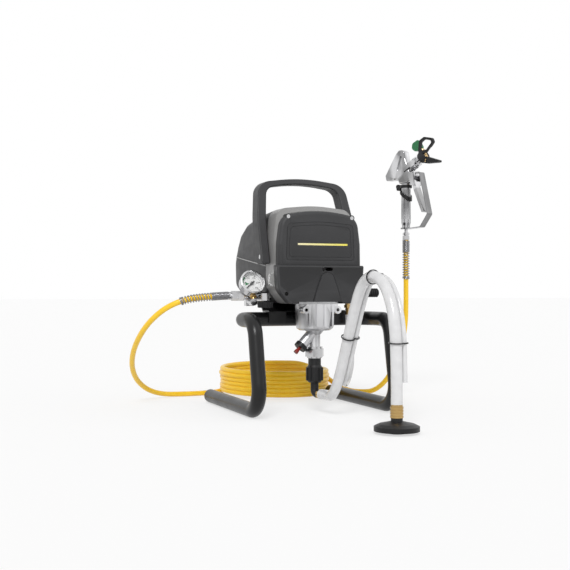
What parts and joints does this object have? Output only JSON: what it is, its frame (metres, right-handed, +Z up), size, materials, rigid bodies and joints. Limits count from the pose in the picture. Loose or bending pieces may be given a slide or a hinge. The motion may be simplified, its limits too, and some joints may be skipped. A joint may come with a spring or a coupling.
{
  "type": "airless paint sprayer",
  "caption": "Electric piston airless paint sprayer on a bent-tube skid, with gauge, suction set, coiled pressure hose and spray gun.",
  "frame": {"origin": "on the floor, at the centre of the base rectangle of the machine, strainer and gun without the hoses", "axes": "+Z up, +Y from the front cover to the back, +X to the right seen from the front"},
  "size_m": [0.6568, 0.8135, 0.5746],
  "materials": {
    "black_paint": "satin powder coat",
    "black_plastic": "matte",
    "charcoal": "matte",
    "grey_shell": "satin",
    "light_gasket": "matte",
    "screw_steel": "satin",
    "motor_steel": "satin",
    "fan_plastic": "matte",
    "cast_aluminium": "satin",
    "polished_steel": "polished",
    "valve_steel": "satin",
    "seal": "matte",
    "red_button": "gloss",
    "brass": "satin",
    "clear_hose": "satin",
    "clip_wire": "gloss",
    "yellow_hose": "gloss",
    "guard_wire": "satin",
    "dial": "matte",
    "lens": "gloss",
    "needle": "matte",
    "tip_brass": "satin"
  },
  "bodies": {
    "root": {"frame_tube": "black_paint", "motor_bracket": "black_paint", "foot_end_caps": "black_plastic", "pusher_guide": "black_plastic", "suction_union": "black_plastic", "suction_elbow": "black_plastic", "strainer_foot": "black_plastic", "relief_valve": "black_plastic", "cable_gland": "black_plastic", "front_cover": "charcoal", "lower_cover": "charcoal", "rear_shell": "charcoal", "lower_shell": "charcoal", "carry_handle": "charcoal", "mid_shell": "grey_shell", "shell_gasket": "light_gasket", "bracket_screws": "screw_steel", "case_screws": "screw_steel", "bearings": "screw_steel", "hose_fittings": "screw_steel", "motor_stator": "motor_steel", "motor_end_frame": "cast_aluminium", "gear_housing": "cast_aluminium", "pump_casting": "cast_aluminium", "inlet_ball": "polished_steel", "inlet_valve": "valve_steel", "outlet_manifold": "valve_steel", "gauge_case": "valve_steel", "rod_packing": "seal", "elbow_ring": "brass", "strainer_ferrule": "brass", "gauge_stem": "brass", "return_barb": "brass", "suction_hose": "clear_hose", "return_hose": "clear_hose", "hose_clips": "clip_wire", "hose_lead": "yellow_hose", "hose_riser": "yellow_hose", "hose_coil": "yellow_hose", "hose_guards": "guard_wire", "gauge_dial": "dial", "gauge_glass": "lens"},
    "rotor": {"motor_rotor": "motor_steel", "cooling_fan": "fan_plastic"},
    "drive_gear": {"drive_gear": "motor_steel"},
    "piston": {"piston_yoke": "cast_aluminium", "piston_rod": "polished_steel"},
    "needle": {"gauge_needle": "needle"},
    "knob": {"pressure_knob": "black_plastic"},
    "relief_lever": {"relief_lever": "black_plastic"},
    "inlet_pusher": {"inlet_pusher": "red_button"},
    "switch": {"power_switch": "black_plastic"},
    "gun": {"gun_handle": "cast_aluminium", "gun_body": "cast_aluminium", "gun_nut": "polished_steel", "trigger_guard": "valve_steel"},
    "trigger": {"trigger": "polished_steel"},
    "trigger_lock": {"trigger_lock": "black_plastic"},
    "tip_guard": {"tip_guard": "black_plastic"},
    "spray_tip": {"spray_tip": "tip_brass"}
  },
  "joints": [
    {"name": "rotor_spin", "type": "hinge", "parent": "root", "child": "rotor", "pos_m": [-0.09, 0.155, 0.318], "axis": [0, 1, 0], "continuous": true},
    {"name": "gear_spin", "type": "hinge", "parent": "root", "child": "drive_gear", "pos_m": [-0.09, 0.085, 0.273], "axis": [0, 1, 0], "continuous": true},
    {"name": "piston_slide", "type": "slide", "parent": "root", "child": "piston", "axis": [0, 0, 1], "range_m": [-0.006, 0.006]},
    {"name": "needle_turn", "type": "hinge", "parent": "root", "child": "needle", "pos_m": [-0.203, 0.083, 0.253], "axis": [0, 0.9063, -0.4226], "range_deg": [0, 265]},
    {"name": "knob_turn", "type": "hinge", "parent": "root", "child": "knob", "pos_m": [-0.187, 0.05, 0.211], "axis": [0, 0, -1], "range_deg": [0, 270]},
    {"name": "relief_lever_turn", "type": "hinge", "parent": "root", "child": "relief_lever", "pos_m": [0.027, 0.055, 0.234], "axis": [1, 0, 0], "range_deg": [0, 90]},
    {"name": "pusher_press", "type": "slide", "parent": "root", "child": "inlet_pusher", "axis": [0.7032, 0.1055, 0.7032], "range_m": [0, 0.003], "stiffness_N_per_m": 900, "springref_m": -0.002},
    {"name": "switch_rock", "type": "hinge", "parent": "root", "child": "switch", "pos_m": [-0.13, 0.282, 0.253], "axis": [1, 0, 0], "range_deg": [-7, 7]},
    {"name": "gun_swivel", "type": "hinge", "parent": "root", "child": "gun", "pos_m": [0.205, 0.21, 0.376], "axis": [0, 0, 1], "continuous": true},
    {"name": "trigger_pull", "type": "hinge", "parent": "gun", "child": "trigger", "pos_m": [0.21332, 0.18856, 0.496], "axis": [0.9323, 0.3616, 0], "range_deg": [0, 18], "stiffness_Nm_per_rad": 1.2, "springref_deg": -8.59},
    {"name": "lock_turn", "type": "hinge", "parent": "gun", "child": "trigger_lock", "pos_m": [0.205, 0.21, 0.46], "axis": [0, 0, 1], "range_deg": [0, 90]},
    {"name": "tip_guard_turn", "type": "hinge", "parent": "gun", "child": "tip_guard", "pos_m": [0.22453, 0.15965, 0.535], "axis": [0.3193, -0.8232, 0.4695], "range_deg": [0, 90]},
    {"name": "spray_tip_turn", "type": "hinge", "parent": "tip_guard", "child": "spray_tip", "pos_m": [0.22453, 0.15965, 0.535], "axis": [-0.1698, 0.4377, 0.8829], "range_deg": [-180, 0]}
  ],
  "couplings": [
    {"joint": "gear_spin", "follows": "rotor_spin", "ratio": -0.2}
  ]
}
